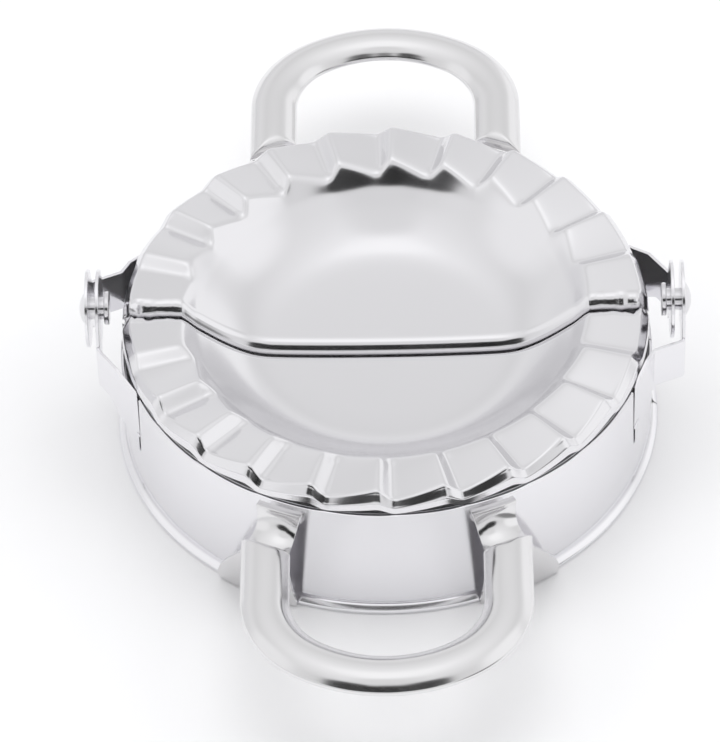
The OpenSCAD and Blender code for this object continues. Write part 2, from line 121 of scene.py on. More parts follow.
# ------------------------------------------------------------------ meshes
class Shell:
    """Closed surface of one piece, gathered patch by patch."""

    def __init__(self) -> None:
        """Start with no points and no faces."""
        self.points: list[Array] = []
        self.faces: list[Array] = []
        self.count = 0

    def add(self, points: Array) -> Array:
        """Add points and return their numbers in the same arrangement.

        Args:
            points: array whose last axis holds x, y and z in millimetres.

        Returns:
            Array of point numbers, shaped like points without its last axis.
        """
        flat = points.reshape(-1, 3)
        index = np.arange(self.count, self.count + len(flat)).reshape(points.shape[:-1])
        self.points.append(flat)
        self.count += len(flat)
        return index

    def skin(self, index: Array) -> None:
        """Cover a grid of point numbers with four-sided faces."""
        quads = np.stack([index[:-1, :-1], index[1:, :-1], index[1:, 1:], index[:-1, 1:]], axis=-1)
        self.faces.append(quads.reshape(-1, 4))

    def bridge(self, first: Array, second: Array) -> None:
        """Join two equally long lines of point numbers with a strip of faces."""
        self.skin(np.stack([first, second]))

    def fan(self, centre: int, line: Array) -> None:
        """Join a line of point numbers to one point with triangles.

        Args:
            centre: number of the point.
            line: numbers of the line's points, in order.
        """
        apex = np.full(len(line) - 1, centre)
        self.faces.append(np.stack([apex, line[:-1], line[1:]], axis=-1))

    def wrap(self, top: Array, base: Array) -> None:
        """Close two grids of point numbers into a sheet with four edges.

        Args:
            top: point numbers of one side.
            base: point numbers of the other side, in the same arrangement.
        """
        self.skin(top)
        self.skin(base[:, ::-1])
        self.bridge(base[0], top[0])
        self.bridge(top[-1], base[-1])
        self.bridge(top[:, 0], base[:, 0])
        self.bridge(base[:, -1], top[:, -1])

    def build(self, name: str) -> bpy.types.Object:
        """Make the mesh object, with its faces turned outwards.

        Args:
            name: name of the object and its mesh.

        Returns:
            The new object, linked to the scene, with its place in its mesh.
        """
        points = np.concatenate(self.points)
        corners = [np.pad(f, ((0, 0), (0, 4 - f.shape[1])), mode="edge") for f in self.faces]
        a, b, c, d = (points[i] for i in np.concatenate(corners).T)
        volume = np.einsum("ij,ij->i", a, np.cross(b, c) + np.cross(c, d)).sum() / 6
        faces = self.faces if volume > 0 else [f[:, ::-1] for f in self.faces]
        sizes = np.concatenate([np.full(len(f), f.shape[1]) for f in faces])
        mesh = bpy.data.meshes.new(name)
        mesh.vertices.add(len(points))
        mesh.vertices.foreach_set("co", (points * MM).astype(np.float32).ravel())
        loops = np.concatenate([f.ravel() for f in faces])
        mesh.loops.add(len(loops))
        mesh.loops.foreach_set("vertex_index", loops.astype(np.int32))
        mesh.polygons.add(len(sizes))
        mesh.polygons.foreach_set("loop_start", (np.cumsum(sizes) - sizes).astype(np.int32))
        mesh.polygons.foreach_set("use_smooth", np.ones(len(sizes), dtype=bool))
        mesh.update(calc_edges=True)
        piece = bpy.data.objects.new(name, mesh)
        bpy.context.scene.collection.objects.link(piece)
        return piece


def join(*parts: Array | float) -> Array:
    """Put coordinates side by side on a new last axis, spread to one common shape."""
    return np.stack(np.broadcast_arrays(*parts), axis=-1)


def crease(piece: bpy.types.Object, degrees: float) -> None:
    """Keep edges sharper than an angle crisp, while the rest shades smooth."""
    piece.data.set_sharp_from_angle(angle=np.radians(degrees))


def soften(piece: bpy.types.Object, width: float, degrees: float = 40.0, steps: int = 2) -> None:
    """Round the sheet's cut edges with a bevel.

    Args:
        piece: object to round.
        width: width of the bevel in millimetres.
        degrees: edges sharper than this are rounded.
        steps: faces across the round.
    """
    bevel = piece.modifiers.new("cut edges", "BEVEL")
    bevel.width = width * MM
    bevel.segments = steps
    bevel.limit_method = "ANGLE"
    bevel.angle_limit = np.radians(degrees)
    bevel.harden_normals = True


def normals(grid: Array) -> Array:
    """Unit normals of a grid of points, from the cross product of its two slopes.

    Args:
        grid: points, shape (rows, columns, 3).

    Returns:
        The normals, in the same arrangement.
    """
    along = np.gradient(grid, axis=0)
    across = np.gradient(grid, axis=1)
    square = np.cross(along, across)
    return square / np.linalg.norm(square, axis=-1, keepdims=True)


def arc(start: float, end: float, steps: int) -> Array:
    """Evenly spaced angles from start to end in degrees, given in radians."""
    return np.radians(np.linspace(start, end, steps + 1))


def spread_out(values: Array, width: float) -> Array:
    """Round the corners of evenly spaced values with a bell curve.

    Args:
        values: values at even steps.
        width: standard deviation of the bell curve, in steps.

    Returns:
        The rounded values, as many as before and with the same ends.
    """
    reach = int(4 * width)
    bell = np.exp(-0.5 * (np.arange(-reach, reach + 1) / width) ** 2)
    padded = np.pad(values, reach, mode="reflect", reflect_type="odd")
    return np.convolve(padded, bell / bell.sum(), mode="valid")


def rounded_path(corners: Array, radii: Array, steps: int = 10) -> Array:
    """Polyline in plan whose corners are replaced by arcs.

    An arc touches both runs at a distance of radius times the tangent of half the turn,
    and its points are spaced evenly by angle.

    Args:
        corners: points of the polyline, shape (n, 2).
        radii: radius at each inner corner, shape (n - 2,).
        steps: pieces of each arc.

    Returns:
        Points along the rounded path.
    """
    parts = [corners[:1]]
    for before, at, after, radius in zip(corners, corners[1:], corners[2:], radii):
        run_in = (at - before) / np.linalg.norm(at - before)
        run_out = (after - at) / np.linalg.norm(after - at)
        turn = np.arctan2(run_in[0] * run_out[1] - run_in[1] * run_out[0], run_in @ run_out)
        reach = radius * np.tan(abs(turn) / 2)
        side = np.sign(turn) * np.array([-run_in[1], run_in[0]])
        centre = at - run_in * reach + side * radius
        sweep = np.linspace(0.0, turn, steps + 1)
        spoke = -side * radius
        parts.append(centre + join(
            spoke[0] * np.cos(sweep) - spoke[1] * np.sin(sweep),
            spoke[0] * np.sin(sweep) + spoke[1] * np.cos(sweep),
        ))
    parts.append(corners[-1:])
    return np.concatenate(parts)


def rounded_edge(radii: Pair, face: float, tilts: Pair) -> tuple[Array, Array]:
    """Profile of a pressed edge: a round, a slanted face and a second round.

    A step's direction is the mean tilt of its two ends, and its length is the radius times
    the turn, or the face's length over its steps.

    Args:
        radii: radius before and after the face.
        face: length of the face.
        tilts: tilt of the face and of the profile's end, in degrees from level.

    Returns:
        Points as rows of distance outwards and drop, from the edge's start, and the tilt at
        each point in radians.
    """
    first, flat, second = EDGE_STEPS
    slant = np.full(flat, np.radians(tilts[0]))
    tilt = np.concatenate([arc(0.0, tilts[0], first), slant, arc(*tilts, second)[1:]])
    turn = np.diff(tilt)
    run = np.where(turn > 0, np.repeat(radii, [first + flat, second]) * turn, face / flat)
    middle = tilt[:-1] + turn / 2
    steps = run[:, None] * join(np.cos(middle), np.sin(middle))
    return np.concatenate([np.zeros((1, 2)), np.cumsum(steps, axis=0)]), tilt


def resample(path: Array, count: int) -> Array:
    """Points spaced evenly by length along a polyline, with its ends kept.

    Args:
        path: points of the polyline, shape (n, 2).
        count: how many points to return.

    Returns:
        The new points, shape (count, 2).
    """
    length = np.concatenate([[0.0], np.cumsum(np.linalg.norm(np.diff(path, axis=0), axis=1))])
    at = np.linspace(0.0, length[-1], count)
    return join(*(np.interp(at, length, axis) for axis in path.T))


# ------------------------------------------------------------------ finishes
def set_inputs(node: bpy.types.Node, values: Inputs) -> None:
    """Set a shader node's inputs by their names."""
    for name, value in values.items():
        node.inputs[name].default_value = value


def add_node(tree: bpy.types.NodeTree, kind: str, values: Inputs) -> bpy.types.Node:
    """Add a shader node and set its inputs.

    Args:
        tree: node tree that the node goes into.
        kind: type of the node.
        values: values of inputs by the inputs' names.

    Returns:
        The new node.
    """
    node = tree.nodes.new(kind)
    set_inputs(node, values)
    return node


@dataclass(frozen=True)
class Steel:
    """Stainless steel with a given polish.

    Attributes:
        name: name of the material.
        colour: reflectance in red, green and blue.
        gloss: roughness where the polish is best.
        haze: roughness where it is worst.
        patch: size of the hazy patches in millimetres.
        grain: depth of the press and polish marks in millimetres.
        mark: size of those marks in millimetres.
        relief: strength of the marks' shading.
        spread: values of the noise at which the polish is best and worst.
    """

    name: str
    colour: Triple
    gloss: float
    haze: float
    patch: float = 14.0
    grain: float = 0.004
    mark: float = 1.1
    relief: float = 0.35
    spread: Pair = (0.3, 0.7)

    def material(self) -> bpy.types.Material:
        """Build the node material, or return it if it is there already.

        Returns:
            A metallic material whose roughness and fine relief follow Object coordinates.
        """
        found = bpy.data.materials.get(self.name)
        if found:
            return found
        steel = bpy.data.materials.new(self.name)
        steel.use_nodes = True
        tree = steel.node_tree
        shader = tree.nodes["Principled BSDF"]
        set_inputs(shader, {"Base Color": (*self.colour, 1.0), "Metallic": 1.0})
        place = tree.nodes.new("ShaderNodeTexCoord")
        patch = add_node(tree, "ShaderNodeTexNoise", {
            "Scale": 1.0 / (self.patch * MM), "Detail": 3.0,
        })
        polish = add_node(tree, "ShaderNodeMapRange", {
            "From Min": self.spread[0], "From Max": self.spread[1],
            "To Min": self.gloss, "To Max": self.haze,
        })
        marks = add_node(tree, "ShaderNodeTexNoise", {
            "Scale": 1.0 / (self.mark * MM), "Detail": 4.0,
        })
        relief = add_node(tree, "ShaderNodeBump", {
            "Strength": self.relief, "Distance": self.grain * MM,
        })
        for start, output, end, socket in (
            (place, "Object", patch, "Vector"),
            (patch, "Fac", polish, "Value"),
            (polish, "Result", shader, "Roughness"),
            (place, "Object", marks, "Vector"),
            (marks, "Fac", relief, "Height"),
            (relief, "Normal", shader, "Normal"),
        ):
            tree.links.new(start.outputs[output], end.inputs[socket])
        return steel

    def dress(self, piece: bpy.types.Object) -> None:
        """Give a piece this finish.

        Args:
            piece: object to dress.
        """
        piece.data.materials.clear()
        piece.data.materials.append(self.material())


PLATE_STEEL = Steel("pressed plate steel", (0.79, 0.785, 0.80), gloss=0.13, haze=0.19)
BAND_STEEL = Steel("band steel", (0.86, 0.855, 0.875), gloss=0.16, haze=0.22, grain=0.0003)
HANDLE_STEEL = Steel("handle steel", (0.775, 0.77, 0.775), gloss=0.13, haze=0.19, patch=9.0)
RIVET_STEEL = Steel("rivet steel", (0.74, 0.735, 0.75), gloss=0.14, haze=0.2, patch=3.0)


# ------------------------------------------------------------------ the mold plate
@dataclass
class MoldPlate:
    """Half disc with half a bowl, a pleated rim, a turned-down lip and a hem on the seam.

    Attributes:
        half: half of the press that this plate is on.
        press_d: width of the round that the two plates make.
        plate_z: height of the rim, halfway between the pleats' crests and valleys.
        hem_gap: gap between the hems of the two plates.
        ring_y: how far the rim's centre lies behind the hem's face.
        sheet: thickness of the sheet.
        bowl_d: width of the bowl.
        bowl_depth: depth of the bowl below the rim.
        bowl_slopes: slope of the bowl's surface at radii from its middle.
        bowl_blur: width of the bell curve that rounds the slopes' corners.
        edge_soft: size of the round between the bowl and the rim.
        edge_blend: distance outside the bowl at which the pleats' corners are crisp.
        end_share: share of its height that a pleat has near the seam.
        end_span: angles from the seam between which that share grows to one.
        pleats: number of pleats.
        pleat_rise: height from a valley to a crest.
        step_share: share of a pleat's length that its short drop takes.
        pleat_start: angle at which evenly spaced columns would start, in degrees.
        pleat_round: width of the bell curve on the rim, in pleats.
        pleat_blur: width of the bell curve at the bowl, in pleats.
        near_span: angle from the seam within which the columns close up.
        lip_round: radius of the lip's two rounds.
        lip_face: length of the slanted face between them.
        lip_tilt: tilt of that face, and of the hem's, from level.
        lip_lean: tilt from level at which the second round ends.
        lip_drop: depth of the lip's lower edge below the rim.
        lip_wave: share of the pleats' height at the lip's lower edge.
        lip_shy: how far the second round ends inside the lip's lower edge.
        hem_round: how far the hem's bend reaches out and down.
        hem_face: length of the slanted face halfway round the bend.
        hem_drop: depth of the whole hem.
        hem_foot: height above the lip's lower edge from which the hem has its full depth.
        hem_least: least share of that depth.
        crumple: height of the hem's crumples.
        crumple_span: how strong the crumples are at distances from the middle of the seam.
        crumple_waves: height, turn in radians per millimetre and phase of each sine.
        hub_r: radius of the first row round the bowl's middle.
        wall_r: radius from which the rows lie closer, for the bowl's wall.
        edge_reach: distance on either side of the bowl's edge where they lie closest.
        columns: columns of faces round the rim.
        fine_turns: steps of the curve that the pleats' heights are read from.
        fine_rings: steps of the curve that the bowl's heights are read from.
    """

    half: Half
    press_d: float = 95.0
    plate_z: float = 27.5
    hem_gap: float = 1.0
    ring_y: float = 0.35
    sheet: float = 0.6
    bowl_d: float = 73.0
    bowl_depth: float = 10.8
    bowl_slopes: tuple[Pair, ...] = (
        (0.0, 0.0), (16.0, 0.035), (20.5, 0.07), (22.5, 0.17), (25.6, 0.5), (28.7, 0.71),
        (31.7, 0.85), (33.3, 0.86), (33.9, 0.9), (34.6, 1.2), (36.5, 1.2),
    )
    bowl_blur: float = 0.28
    edge_soft: float = 0.42
    edge_blend: float = 1.5
    end_share: float = 0.6
    end_span: Pair = (16.0, 30.0)
    pleats: int = 12
    pleat_rise: float = 2.4
    step_share: float = 0.22
    pleat_start: float = 1.2
    pleat_round: float = 0.035
    pleat_blur: float = 0.075
    near_span: float = 12.0
    lip_round: float = 0.8
    lip_face: float = 1.3
    lip_tilt: float = 47.0
    lip_lean: float = 84.0
    lip_drop: float = 2.6
    lip_wave: float = 0.5
    lip_shy: float = 0.2
    hem_round: float = 2.6
    hem_face: float = 0.5
    hem_drop: float = 3.2
    hem_foot: float = 2.55
    hem_least: float = 0.06
    crumple: float = 0.3
    crumple_span: tuple[Pair, ...] = ((35.5, 0.0), (38.0, 0.2), (41.5, 0.3), (44.5, 1.3))
    crumple_waves: tuple[Triple, ...] = ((1.0, 1.1, 0.8), (0.6, 2.6, 2.0), (0.25, 5.9, 0.0))
    hub_r: float = 5.5
    wall_r: float = 20.0
    edge_reach: float = 3.2
    columns: int = 340
    fine_turns: int = 7200
    fine_rings: int = 1900

    def pleat_height(self, turn: Array, rounding: float) -> Array:
        """Height of the pleats from -1 to 1 at angles along the rim.

        A pleat is a long rise and a short drop. The first one starts and the last one ends
        level with the seam, and both are shallower. The corners are rounded with a bell curve.

        Args:
            turn: angles from the seam's left end, in degrees.
            rounding: width of the bell curve, in pleats.

        Returns:
            Heights, zero at both ends of the seam.
        """
        pitch = 180.0 / self.pleats
        drop = np.arange(1, self.pleats)[:, None] + np.array([-0.5, 0.5]) * self.step_share
        knots = np.concatenate([[0.0], drop.ravel() * pitch, [180.0]])
        levels = np.concatenate([[0.0], np.tile([1.0, -1.0], self.pleats - 1), [0.0]])
        fine = np.linspace(0.0, 180.0, self.fine_turns + 1)
        near = np.minimum(fine, 180.0 - fine)
        wave = np.interp(fine, knots, levels)
        wave *= np.interp(near, self.end_span, [self.end_share, 1.0])
        return np.interp(turn, fine, spread_out(wave, rounding * pitch / fine[1]))

    def bowl_level(self, radius: Array) -> Array:
        """Height of the bowl's own surface, which runs on upwards past the bowl's edge.

        Its slopes are joined by straight lines whose corners are rounded with a bell curve
        that is bowl_blur wide, and their sum is scaled to the bowl's depth. The wall is
        steepest just inside the bowl's edge.

        Args:
            radius: distances from the bowl's middle.

        Returns:
            Heights above the rim, so negative inside the bowl.
        """
        fine = np.linspace(0.0, self.press_d / 2, self.fine_rings + 1)
        slope = spread_out(np.interp(fine, *np.array(self.bowl_slopes).T), self.bowl_blur / fine[1])
        rise = np.cumsum(slope)
        depth = np.interp(self.bowl_d / 2, fine, rise)
        return (np.interp(radius, fine, rise) / depth - 1) * self.bowl_depth

    def profile(self) -> Array:
        """Profile of the rim from the bowl's middle to the lip's lower edge.

        Its rows close up about the bowl's edge. The lip is a round, a slanted face, a second
        round and a steep skirt.

        Returns:
            Rows of radius, drop and share of the pleats' height, shape (n, 3).
        """
        bowl_r, press_r = self.bowl_d / 2, self.press_d / 2
        rounds, tilts = (self.lip_round, self.lip_round), (self.lip_tilt, self.lip_lean)
        edge, _ = rounded_edge(rounds, self.lip_face, tilts)
        start = press_r - self.lip_shy - edge[-1, 0]
        inside, outside = bowl_r - self.edge_reach, bowl_r + self.edge_reach
        reach = np.concatenate([
            np.linspace(self.hub_r, self.wall_r - 0.5, 12),
            np.linspace(self.wall_r, inside - 0.2, 26),
            np.linspace(inside, outside, 44),
            np.linspace(outside + 0.4, start, 12),
        ])
        inner = join(reach, 0.0, 1.0)
        wave = np.linspace(1.0, self.lip_wave, len(edge))
        lip = np.concatenate([edge + [start, 0.0], wave[:, None]], axis=1)[1:]
        skirt = np.linspace(lip[-1], [press_r, self.lip_drop, self.lip_wave], 6)[1:]
        return np.concatenate([inner, lip, skirt])

    def surfaces(self, turn: Array) -> tuple[Array, Array]:
        """Upper and under side of the plate as grids.

        The upper side is the lower of the pleated rim and the bowl's surface, with a round
        between them, so the bowl cuts further into a pleat's crest than into its valley.
        The pleats' corners are softer where they run into the bowl.
        The under side is moved through the sheet along the profile's normal.

        Args:
            turn: angles from the seam's left end, in degrees.

        Returns:
            The two grids, rows along the profile and columns along the rim.
        """
        radius, drop, share = self.profile().T
        crisp, soft = (self.pleat_height(turn, w) for w in (self.pleat_round, self.pleat_blur))
        clear = np.clip((radius[:, None] - self.bowl_d / 2) / self.edge_blend, 0.0, 1.0)
        height = (soft + (crisp - soft) * clear) * self.pleat_rise / 2
        rim = -drop[:, None] + share[:, None] * height
        bowl = self.bowl_level(radius)[:, None]
        level = (rim + bowl) / 2 - np.hypot((rim - bowl) / 2, self.edge_soft)
        top = join(radius[:, None], level)
        slope = np.gradient(top, axis=0)
        slope[0] = [1.0, 0.0]
        slope /= np.linalg.norm(slope, axis=-1, keepdims=True)
        under = top + self.sheet * join(slope[..., 1], -slope[..., 0])
        return self.spread(top, turn), self.spread(under, turn)

    def spread(self, grid: Array, turn: Array) -> Array:
        """Carry radius and height round the rim to x, y and z about the plate's own origin.

        A ring is an arc about the middle of the press that ends where the hem's rounding
        starts. The columns are evenly spaced, and close up towards the seam.

        Args:
            grid: rows along the profile and columns along the rim, of radius and height.
            turn: the columns' angles from the seam's left end, in degrees.

        Returns:
            The points, shape (rows, columns, 3).
        """
        near = np.minimum(turn, 180.0 - turn)[None, :]
        even = self.pleat_start + near * (1 - self.pleat_start / 90.0)
        seam_y = self.ring_y + self.hem_round
        late = np.degrees(np.arcsin(seam_y / grid[..., 0])) - self.pleat_start
        fade = 1 - near / np.maximum(self.near_span, 2 * late)
        angle = np.radians(even + late * np.maximum(0.0, fade))
        side = np.where(turn <= 90.0, -1.0, 1.0)[None, :]
        x = side * grid[..., 0] * np.cos(angle)
        y = self.ring_y - grid[..., 0] * np.sin(angle)
        return join(x, y, grid[..., 1])

    def hem(self, edge: Array, inner: bool, top: Array) -> Array:
        """Rows of the turned-down hem under one edge of the seam.

        The hem is a quarter round with a slanted face halfway and then a flat skirt. It is
        full over the bowl and dies away at the lip. Its crumples are deepest halfway down,
        and half as deep outwards as downwards.

        Args:
            edge: points of the sheet's edge along the seam, shape (n, 3).
            inner: whether this is the sheet's under side.
            top: heights of the upper side's edge, which set how deep the hem is.

        Returns:
            Grid with one row per step down the hem.
        """
        fall = np.clip((top + self.lip_drop) / self.hem_foot, self.hem_least, 1.0)
        fall = np.where(np.abs(edge[:, 0]) < self.bowl_d / 2, 1.0, fall)
        radius = self.hem_round - self.hem_face * np.cos(np.radians(self.lip_tilt))
        bend, tilt = rounded_edge((radius, radius), self.hem_face, (self.lip_tilt, 90.0))
        depth = self.sheet if inner else 0.0
        out = bend[1:, 0] - depth * np.sin(tilt[1:]) - self.hem_round
        down = bend[1:, 1] - depth * (1 - np.cos(tilt[1:]))
        z = edge[None, :, 2] - fall * down[:, None]
        skirt = np.linspace(z[-1], top - fall * self.hem_drop, 5)[1:]
        y = np.append(out, np.full(len(skirt), out[-1]))[:, None]
        deep = np.sin(np.linspace(0.15, np.pi, len(y)))[:, None]
        dent = deep * self.dents(edge[:, 0])
        return join(edge[None, :, 0], y + dent / 2, np.concatenate([z, skirt]) + dent)

    def dents(self, x: Array) -> Array:
        """Uneven crumples of the hem: a sum of sines that grows from the bowl's edge outwards.

        Args:
            x: places along the seam.

        Returns:
            How far the hem is lifted there.
        """
        grow = np.interp(np.abs(x), *np.array(self.crumple_span).T)
        height, pitch, phase = np.array(self.crumple_waves).T[..., None]
        return self.crumple * grow * (height * np.sin(pitch * x + phase)).sum(axis=0)

    def build(self) -> bpy.types.Object:
        """Build the plate as one closed mesh and dress it.

        Returns:
            The piece, riding on its half and standing for the node.
        """
        turn = np.linspace(0.0, 180.0, self.columns + 1)
        top, under = self.surfaces(turn)
        shell = Shell()
        lift = np.array([0.0, -self.hem_gap / 2, self.plate_z])
        middle = np.array([[0.0, -self.hem_round, -self.bowl_depth]])
        sides = []
        for grid, inner in ((top, False), (under, True)):
            centre_point = middle - [0.0, 0.0, self.sheet if inner else 0.0]
            edge = np.concatenate([grid[::-1, 0], centre_point, grid[:, -1]])
            crest = np.concatenate([top[::-1, 0], middle, top[:, -1]])[:, 2]
            index = shell.add(self.half.place(grid + lift))
            centre = shell.add(self.half.place(centre_point + lift))
            seam = np.concatenate([index[::-1, 0], centre, index[:, -1]])
            rows = shell.add(self.half.place(self.hem(edge, inner, crest) + lift))
            sides.append((index, centre[0], np.concatenate([seam[None], rows])))
        (upper, hub, fold), (lower, hub_in, fold_in) = sides
        shell.skin(upper)
        shell.fan(hub, upper[0])
        shell.skin(lower[:, ::-1])
        shell.fan(hub_in, lower[0, ::-1])
        shell.bridge(upper[-1], lower[-1])
        shell.skin(fold[:, ::-1])
        shell.skin(fold_in)
        shell.bridge(fold_in[-1], fold[-1])
        shell.bridge(fold_in[:, 0], fold[:, 0])
        shell.bridge(fold[:, -1], fold_in[:, -1])
        name = f"{self.half.label}_pleated_plate"
        piece = shell.build(name)
        crease(piece, degrees=60.0)
        PLATE_STEEL.dress(piece)
        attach(piece, self.half.body)
        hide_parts(f"{self.half.label}_mold_plate")
        return piece


# ------------------------------------------------------------------ the cutter band
@dataclass
class CutterBand:
    """Half ring under the plate, with its beaded edge, slits, arms and hinge lugs.

    Attributes:
        half: half of the press that this band is on.
        seam_gap: gap between the two bands at the seam.
        band_top: height of the wall's top edge.
        band_foot: height where the wall starts above the bead.
        brim: height of the round along the top edge.
        top_r: outer radius of the wall at the top.
        foot_r: outer radius of the wall at the foot.
        sheet: thickness of the wall.
        bead_r: radius of the bead.
        bead_stand: how far the bead's middle stands outside foot_r, in bead radii.
        bead_face: length of the slanted face above the bead.
        bead_tilt: tilt of that face from level, in degrees.
        slit_angle: angle from the seam to a slit.
        slit_w: width of a slit.
        slit_foot: height of a slit's foot.
        slit_ledge: height above that of the ledge on the seam's side of a slit.
        slit_edge: turn that the top edge takes to drop into a slit, in degrees.
        axis_z: height of the hinge axis.
        inner_lug_x: distance of the inner lug from the middle of the press.
        outer_lug_x: distance of the outer lug from the middle of the press.
        lug_sheet: thickness of lugs and arms.
        lug_d: width of a lug's disc.
        lug_clear: distance from the disc to where the arm meets the lug.
        lug_lead: how far before that place the arm is bent for the last time.
        lug_overlap: how far the arm runs past that place, into the lug's web.
        lug_bend_r: radius of the arm's bend beside the lug.
        outer_bend_r: radius of the outer arm's other bend.
        inner_bend_r: radius of the inner arm's other bend.
        bend_run: length along Y of the outer arm's slant, and half that of the inner arm's.
        cut_gap: how far short of that slant the slope of the cut under an arm ends, and
            how far the wall stands above the arm's lower edge there.
        arm_high: height of an arm's top edge at the lug.
        arm_low: height of an arm's lower edge at the lug.
        bore_r: radius of the rivet's bore.
        web_turn: turn of the places on the disc where the web's edges end, in degrees.
    """

    half: Half
    seam_gap: float = 0.3
    band_top: float = 24.2
    band_foot: float = 1.9
    brim: float = 0.1
    top_r: float = 47.9
    foot_r: float = 48.3
    sheet: float = 0.7
    bead_r: float = 0.65
    bead_stand: float = 0.7
    bead_face: float = 0.75
    bead_tilt: float = 45.0
    slit_angle: float = 23.0
    slit_w: float = 0.8
    slit_foot: float = 10.88
    slit_ledge: float = 3.2
    slit_edge: float = 0.01
    axis_z: float = AXIS_Z
    inner_lug_x: float = 51.4
    outer_lug_x: float = 53.3
    lug_sheet: float = 0.6
    lug_d: float = 14.0
    lug_clear: float = 1.2
    lug_lead: float = 0.25
    lug_overlap: float = 0.2
    lug_bend_r: float = 0.45
    outer_bend_r: float = 1.2
    inner_bend_r: float = 2.5
    bend_run: float = 2.6
    cut_gap: float = 0.5
    arm_high: float = 26.5
    arm_low: float = 17.5
    bore_r: float = 2.05
    web_turn: float = 22.0

    @property
    def lug_y(self) -> float:
        """Place along Y where the arm meets the lug."""
        return -(self.lug_d / 2 + self.lug_clear)

    @property
    def cut_y(self) -> float:
        """Place along Y where the slope of the cut under an arm ends."""
        return self.lug_y - self.bend_run - self.cut_gap

    @property
    def half_slit(self) -> float:
        """Half a slit's width, as a turn in degrees."""
        return np.degrees(self.slit_w / 2 / self.top_r)

    @property
    def root(self) -> Array:
        """Where an arm leaves the band, beside the slit, in plan."""
        mid_r = self.top_r - self.sheet / 2
        turn = np.radians(self.slit_angle) - np.arctan((self.slit_w + self.lug_sheet) / 2 / mid_r)
        return mid_r * np.array([np.cos(turn), -np.sin(turn)])

    def top_edge(self, turn: Array) -> Array:
        """Height of the wall's top edge at angles from the seam's right end, in degrees.

        It is full height between the slits and down at the slit's foot in a slit. On the
        seam's side of a slit it runs up from a ledge, and is level next to the seam.

        Args:
            turn: the angles.

        Returns:
            The heights.
        """
        near = np.minimum(turn, 180.0 - turn)
        rise = np.degrees(np.arcsin(-self.cut_y / self.top_r))
        start, end = self.slit_angle - self.half_slit, self.slit_angle + self.half_slit
        knots = [0.0, rise, start - self.slit_edge, start, end, end + self.slit_edge]
        cut, ledge = self.arm_low + self.cut_gap, self.slit_foot + self.slit_ledge
        levels = [cut, cut, ledge, self.slit_foot, self.slit_foot, self.band_top]
        return np.interp(near, knots, levels)

    def wall(self) -> bpy.types.Object:
        """Half ring of sheet with its bead: a closed profile carried round the axis.

        The bead is round with a slanted face above, which leads up to the wall. The wall
        leans evenly from the foot to the top edge. At each end of the half ring the wall is
        closed by a ladder from its inner to its outer side, and the top edge and the bead
        by fans.

        Returns:
            The wall as a closed mesh.
        """
        marks = self.half_slit + np.array([0.0, self.slit_edge])
        marks = np.concatenate([self.slit_angle - marks, self.slit_angle + marks])
        turn = np.unique(np.concatenate([np.linspace(0.0, 180.0, 361), marks, 180.0 - marks]))
        high = self.top_edge(turn)[None, :]
        share = np.linspace(0.0, 1.0, 22)[:, None]
        shift = self.foot_r - self.top_r

        face_turn = 90.0 - self.bead_tilt
        lower, upper = arc(-90.0, face_turn, 10), arc(face_turn, 100.0, 5)
        bend = np.concatenate([lower, upper])[:, None]
        face = np.repeat([0.0, self.bead_face], [len(lower), len(upper)])[:, None]
        slant = np.radians(face_turn)
        bead_x = self.foot_r + self.bead_r * self.bead_stand
        bead = join(
            bead_x + self.bead_r * np.cos(bend) - face * np.sin(slant) + 0 * high,
            self.bead_r + self.bead_r * np.sin(bend) + face * np.cos(slant),
        )
        level = self.band_foot + (high - self.band_foot) * share
        outer = join(self.foot_r - shift * level / self.band_top, level)[1:]
        bend = arc(20.0, 160.0, 4)[:, None]
        brim = join(
            outer[-1, :, 0] - self.sheet / 2 * (1 - np.cos(bend)),
            high - self.brim + self.brim * np.sin(bend),
        )
        level = high * (1 - share)
        inner = join(self.foot_r - self.sheet - shift * level / self.band_top, level)
        loop = np.concatenate([bead, outer, brim, inner])
        angle = -np.radians(turn)
        points = join(
            loop[..., 0] * np.cos(angle),
            loop[..., 0] * np.sin(angle) - self.seam_gap / 2,
            loop[..., 1],
        )

        shell = Shell()
        index = shell.add(self.half.place(points))
        shell.skin(np.concatenate([index, index[:1]]))
        parts = np.cumsum([len(bead), len(outer), len(brim)])
        for column, order in ((0, -1), (-1, 1)):
            round_foot, front, brow, back = np.split(index[:, column], parts)
            shell.bridge(*(back[-2::-1], front)[::order])
            shell.fan(back[0], np.append(front[-1], brow)[::order])
            foot_line = np.concatenate([back[-2:], round_foot, front[:1], back[-2:-1]])
            hub = shell.add(shell.points[0][round_foot].mean(axis=0)[None])[0]
            shell.fan(hub, foot_line[::order])
        piece = shell.build(f"{self.half.label}_ring_wall")
        crease(piece, degrees=50.0)
        return piece

    def strip(self, hand: Hand, corners: Array, radii: Array, name: str) -> bpy.types.Object:
        """Arm from the band to a lug: a plan path carried up between two outlines.

        Args:
            hand: end of the hinge that the arm is on.
            corners: plan corners of the path.
            radii: radius of each bend.
            name: name of the piece.

        Returns:
            The arm as a closed mesh.
        """
        path = resample(rounded_path(corners, radii), 90)
        slope = np.gradient(path, axis=0)
        slope /= np.linalg.norm(slope, axis=1, keepdims=True)
        side = join(slope[:, 1], -slope[:, 0]) * self.lug_sheet / 2
        slant_y, root_y = self.lug_y - 2 * self.bend_run, self.root[1]
        high = np.interp(path[:, 1], [root_y, slant_y], [self.band_top, self.arm_high])
        low = np.interp(path[:, 1], [root_y, self.cut_y], [self.slit_foot, self.arm_low])
        level = low + (high - low) * np.linspace(0.0, 1.0, 18)[:, None]
        shell = Shell()
        faces = (join(*(path + s - [0.0, self.seam_gap / 2]).T, level) for s in (side, -side))
        top, base = (shell.add(self.half.place(hand.place(f))) for f in faces)
        shell.wrap(top, base)
        piece = shell.build(name)
        soften(piece, width=0.12)
        return piece

